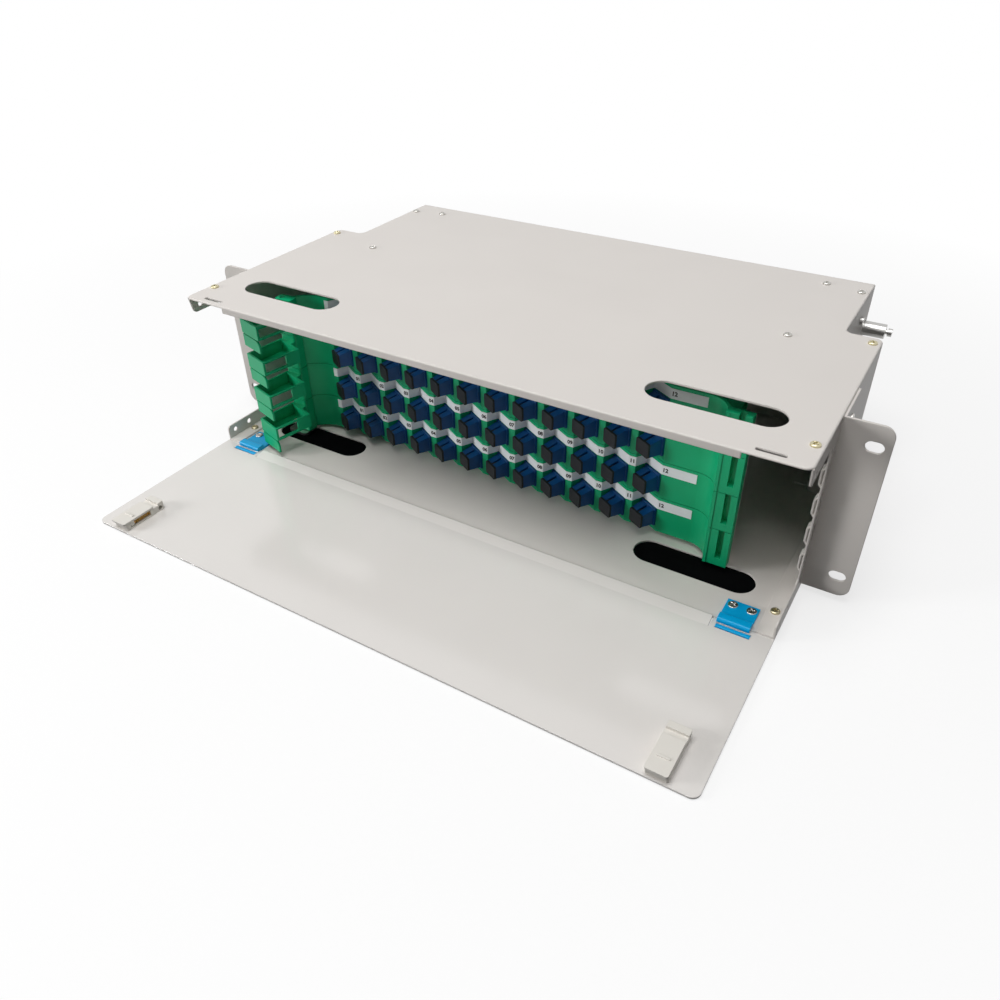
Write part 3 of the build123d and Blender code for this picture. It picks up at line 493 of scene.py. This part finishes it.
def crossed_screws(name, node_name, head_height, material, sideways=False):
    """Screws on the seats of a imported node's screws, each turned a little further than the last."""
    parts = []
    for number, group in enumerate(split_by_gaps(node_points(node_name), screw_gap)):
        low, high = group.min(axis=0), group.max(axis=0)
        middle = (low + high) / 2
        axis = 0 if sideways else 2
        sign = math.copysign(1, middle[0]) if sideways else 1
        outward = np.eye(3)[axis] * sign
        head_end = high[axis] if sign > 0 else low[axis]
        seat = middle.copy()
        seat[axis] = head_end - sign * head_height
        head_radius = (high[1] - low[1]) / 2
        shank_length = high[axis] - low[axis] - head_height
        points, faces = screw(head_radius, head_height, shank_length, first_turn + number)
        parts.append((stood_on(points, seat, outward), faces))
    piece = new_piece(name, parts, material, "chassis")
    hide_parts(node_name)
    print(name, len(parts), "screws")


head_height = mm(1.6)
hinge_head_height = mm(0.9)
crossed_screws("pan_screws_cover_front", "cover_screws_yellow", head_height, yellow_zinc)
crossed_screws("pan_screws_cover_back", "cover_screws_nickel", head_height, nickel)
crossed_screws("pan_screws_floor", "floor_screws", head_height, yellow_zinc)
crossed_screws("pan_screws_ears", "ear_screws", head_height, nickel, sideways=True)
crossed_screws("pan_screws_hinges", "hinge_screws", hinge_head_height, nickel)

# %% [markdown]
# Coiled latch springs
#
# Behind each latch bolt lies a small compression spring of brass wire. The imported model holds its
# place with a plain sleeve. The coil is a circle, the wire's section, carried along a helix, with
# its end turns wound close so that they sit flat. In the real latch the spring stays against the
# housing and shortens with the bolt; here the coil rides on the door body.


# %% The coil
def coil(low, high, wire_radius, turns, steps_a_turn=24, sides=10):
    """Wire round a helix along Y: centre (R cos t, y(t), R sin t), with y(t) flat in the end turns."""
    centre = (low + high) / 2
    coil_radius = (high[0] - low[0]) / 2 - wire_radius
    turn = np.linspace(0, turns, turns * steps_a_turn + 1)
    first_y, last_y = low[1] + wire_radius, high[1] - wire_radius
    close = 2.1 * wire_radius
    ends = (first_y, first_y + close, last_y - close, last_y)
    along = np.interp(turn, (0, 1, turns - 1, turns), ends)
    angle = 2 * np.pi * turn
    outward = np.stack([np.cos(angle), np.zeros_like(angle), np.sin(angle)], axis=-1)
    path = centre * (1, 0, 1) + coil_radius * outward + along[:, None] * (0, 1, 0)
    forward = np.gradient(path, axis=0)
    forward /= np.linalg.norm(forward, axis=1)[:, None]
    across = np.cross(forward, outward)
    round_angle = np.linspace(0, 2 * np.pi, sides, endpoint=False)[None, :, None]
    ring = np.cos(round_angle) * outward[:, None] + np.sin(round_angle) * across[:, None]
    points = (path[:, None] + wire_radius * ring).reshape(-1, 3)
    return np.vstack([points, path[:1], path[-1:]]), skin(len(path), sides)


spring_wire_radius = mm(0.25)
spring_turns = 10
for side in ("left", "right"):
    low, high = (np.array(corner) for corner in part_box(f"latch_spring_{side}"))
    wound = coil(low, high, spring_wire_radius, spring_turns)
    spring = new_piece(f"coil_spring_{side}", [wound], brass_wire, "door")
    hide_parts(f"latch_spring_{side}")
    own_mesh(spring)

# %% [markdown]
# Printed numbers
#
# Each tray has a film strip printed with the numbers of its twelve adapters, one on each narrow flat
# face between two adapters. Type is easiest as a text object: it is turned into a mesh, stood
# upright, and copied to its face, and all twelve go into one mesh for each tray. The ink gets a
# thickness of a few hundredths of a millimetre, so that it is a closed skin.

# %% The numbers
number_faces = 12
face_pitch = mm(22.2)
first_face_from_left = mm(23.41)
digit_height = mm(2.6)
ink_thickness = mm(0.04)
capital_share = 0.7
stroke_growth = mm(0.17)


def flat_number(words):
    """Points and faces of a word as a thin mesh, centred on the origin, with capitals of digit_height."""
    curve = bpy.data.curves.new("number", "FONT")
    curve.body = words
    curve.size = digit_height / capital_share
    curve.offset = stroke_growth
    curve.align_x = "CENTER"
    curve.align_y = "CENTER"
    curve.extrude = ink_thickness / 2
    curve.resolution_u = 3
    holder = bpy.data.objects.new("number", curve)
    bpy.context.scene.collection.objects.link(holder)
    bpy.context.view_layer.update()
    evaluated = holder.evaluated_get(bpy.context.evaluated_depsgraph_get())
    mesh = bpy.data.meshes.new_from_object(evaluated)
    points = np.empty(len(mesh.vertices) * 3)
    mesh.vertices.foreach_get("co", points)
    faces = [list(face.vertices) for face in mesh.polygons]
    bpy.data.objects.remove(holder)
    bpy.data.meshes.remove(mesh)
    return points.reshape(-1, 3), faces


def on_upright_face(points, place):
    """Lays a flat word against an upright face that looks along -Y: (x, y, z) becomes (x, -z, y)."""
    return points[:, (0, 2, 1)] * (1, -1, 1) + place


words = [flat_number(f"{number:02d}") for number in range(1, number_faces + 1)]
for tray in range(1, 5):
    low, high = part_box(f"label_strip_{tray}")
    parts = []
    for face, (points, faces) in enumerate(words):
        place = (
            low[0] + first_face_from_left + face * face_pitch,
            low[1] - ink_thickness / 2,
            (low[2] + high[2]) / 2,
        )
        parts.append((on_upright_face(points, place), faces))
    new_piece(f"printed_numbers_{tray}", parts, number_ink, f"tray_{tray}")
    print("numbers on tray", tray, "at", round(low[1] * 1000, 2), "mm")

# %% [markdown]
# Camera
#
# The photograph was solved for its camera from the rack slots and the straight edges of the case.
# It stands in front, to the right and above, with a short lens, which is why the near door corner
# looks so large.

# %% The camera
camera_place_mm = (260.56, -418.83, 282.56)
camera_turn_degrees = (54.057, 0.793, 31.275)
camera_data = bpy.data.cameras.new("camera")
camera_data.sensor_width = 36.0
camera_data.lens = 30.18
camera_data.clip_start = 0.01
camera_data.clip_end = 20.0
camera = bpy.data.objects.new("camera", camera_data)
camera.location = [mm(value) for value in camera_place_mm]
camera.rotation_euler = [math.radians(value) for value in camera_turn_degrees]
bpy.context.scene.collection.objects.link(camera)
bpy.context.scene.camera = camera
print("camera at", tuple(camera.location))

# %% [markdown]
# Light
#
# The photograph has the light of a bright room with a big ceiling panel: level faces are clear, and
# upright faces and everything under the cover fall off to grey. Faces that look to the left are
# clearer than those that look to the right. So one wide lamp hangs above and a little in front, a
# smaller one stands far out in front on the left, and the world is brightest overhead.


# %% Lamps
def area_lamp(name, place, aim, size, power):
    """A square soft lamp at a place, turned to look at another."""
    data = bpy.data.lights.new(name, "AREA")
    data.shape = "SQUARE"
    data.size = size
    data.energy = power
    lamp = bpy.data.objects.new(name, data)
    lamp.location = place
    direction = np.array(aim) - np.array(place)
    flat = math.hypot(direction[0], direction[1])
    lamp.rotation_euler = (
        math.atan2(flat, -direction[2]),
        0.0,
        math.atan2(direction[1], direction[0]) - math.pi / 2,
    )
    bpy.context.scene.collection.objects.link(lamp)
    print(name, power, "W")


area_lamp("ceiling_lamp", (-0.1, -0.45, 1.9), (0, 0, 0), 1.2, 30)
area_lamp("front_lamp", (-1.65, -1.35, 0.6), (0, 0, 0), 0.6, 21)

# %% [markdown]
# What is seen and what lights
#
# A studio picture stands on pure white, and yet a white room all round would flood the case with
# light. A light path tells the two apart: rays from the camera, from a reflection or through clear
# plastic see white, and the rays that carry light to the case see a much dimmer room.


# %% Seen directly or not
def seen_directly(tree):
    """1 for camera, glossy and transmission rays, and 0 for the rays that light the object."""
    ray = node(tree, "ShaderNodeLightPath")
    through = node(
        tree,
        "ShaderNodeMath",
        {"operation": "MAXIMUM"},
        _0=ray.outputs["Is Camera Ray"],
        _1=ray.outputs["Is Transmission Ray"],
    )
    seen = node(
        tree,
        "ShaderNodeMath",
        {"operation": "MAXIMUM"},
        _0=through.outputs["Value"],
        _1=ray.outputs["Is Glossy Ray"],
    )
    return seen.outputs["Value"]


print("light path helper ready")

# %% [markdown]
# The room
#
# The world is white to the eye. To the case it is a soft glow that grows from the horizon up to the
# ceiling, as in a room with pale ceiling panels, so upright faces stay darker than level ones.

# %% The world
overhead_glow = 0.16
horizon_glow = 0.03
world = bpy.data.worlds.new("studio")
bpy.context.scene.world = world
world.use_nodes = True
sky = world.node_tree
sky.nodes.clear()
sky_direction = node(sky, "ShaderNodeTexCoord").outputs["Generated"]
sky_height = node(sky, "ShaderNodeSeparateXYZ", Vector=sky_direction).outputs["Z"]
glow = node(sky, "ShaderNodeMapRange", Value=sky_height, To_Min=horizon_glow, To_Max=overhead_glow)
sky_strength = node(
    sky,
    "ShaderNodeMix",
    _0=seen_directly(sky),
    _2=glow.outputs["Result"],
    _3=1.0,
)
background = node(
    sky,
    "ShaderNodeBackground",
    Color=(1.0, 1.0, 1.0, 1.0),
    Strength=sky_strength.outputs[0],
)
node(sky, "ShaderNodeOutputWorld", Surface=background.outputs["Background"])
print("world", world.name)

# %% [markdown]
# The ground
#
# The case stands on white paper. Near the case the paper is lit like any paper, so that it keeps the
# shadow, and further out it glows evenly into the white beyond, so that no horizon shows. To the
# rays that light the object the paper is a dark table, because a white one would lift the upright
# faces. Under the case lies a black bench mat, which is what shows through the cable holes.

# %% Paper and mat
floor_low, floor_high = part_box("floor_plate")
mat_thickness = mm(0.6)
mat_margin = mm(8)
mat_rear_gap = mm(90)
mat_gap = mm(0.05)
paper_half = 6.0


def slab(name, low, high, material):
    """A closed box between two corners, its eight points counted by their bits."""
    chosen = [[(high if index >> axis & 1 else low)[axis] for axis in range(3)] for index in range(8)]
    faces = [(0, 2, 3, 1), (4, 5, 7, 6), (0, 1, 5, 4), (2, 6, 7, 3), (0, 4, 6, 2), (1, 3, 7, 5)]
    mesh = bpy.data.meshes.new(name)
    mesh.from_pydata(chosen, [], faces)
    mesh.materials.append(material)
    slab_object = bpy.data.objects.new(name, mesh)
    bpy.context.scene.collection.objects.link(slab_object)
    return slab_object


paper, paper_tree, paper_shader = new_material("white_backdrop_paper")
paper_place = node(paper_tree, "ShaderNodeTexCoord").outputs["Object"]
paper_noise = node(paper_tree, "ShaderNodeTexNoise", Vector=paper_place, Scale=1 / mm(3))
paper_tone = node(paper_tree, "ShaderNodeMix", {"data_type": "RGBA"}, _0=paper_noise.outputs["Fac"])
paper_tone.inputs[6].default_value = linear("#FCFCFC")
paper_tone.inputs[7].default_value = linear("#FFFFFF")
paper_tree.links.new(paper_tone.outputs[2], paper_shader.inputs["Base Color"])
paper_shader.inputs["Roughness"].default_value = 0.9
paper_reach = node(paper_tree, "ShaderNodeVectorMath", {"operation": "LENGTH"}, _0=paper_place)
paper_share = node(
    paper_tree,
    "ShaderNodeMapRange",
    Value=paper_reach.outputs["Value"],
    From_Min=0.3,
    From_Max=0.75,
    To_Min=0.3,
    To_Max=0.0,
)
paper_glow = node(paper_tree, "ShaderNodeEmission", Color=(1.0, 1.0, 1.0, 1.0), Strength=1.0)
paper_seen = node(
    paper_tree,
    "ShaderNodeMixShader",
    _0=paper_share.outputs["Result"],
    _1=paper_glow.outputs["Emission"],
    _2=paper_shader.outputs["BSDF"],
)
table_top = node(paper_tree, "ShaderNodeBsdfDiffuse", Color=linear("#404040"))
paper_mix = node(
    paper_tree,
    "ShaderNodeMixShader",
    _0=seen_directly(paper_tree),
    _1=table_top.outputs["BSDF"],
    _2=paper_seen.outputs["Shader"],
)
paper_output = next(made for made in paper_tree.nodes if made.type == "OUTPUT_MATERIAL")
paper_tree.links.new(paper_mix.outputs["Shader"], paper_output.inputs["Surface"])
paper_top = floor_low[2] - mat_thickness
paper_sheet = slab(
    "backdrop_paper",
    (-paper_half, -paper_half, paper_top - mm(1)),
    (paper_half, paper_half, paper_top),
    paper,
)
mat_rubber = moulded("black_mat_rubber", "#0E0F10", "#090A0B", 0.9, grain_mm=1.0, specular=0.0)
bench_mat = slab(
    "bench_mat",
    (floor_low[0] + mat_margin, floor_low[1] + mat_margin, paper_top),
    (floor_high[0] - mat_margin, floor_high[1] - mat_rear_gap, floor_low[2] - mat_gap),
    mat_rubber,
)
print("paper at", paper_top)

# %% [markdown]
# View and finish
#
# The Standard view shows colours as they are written.

# %% The view
bpy.context.scene.view_settings.view_transform = "Standard"
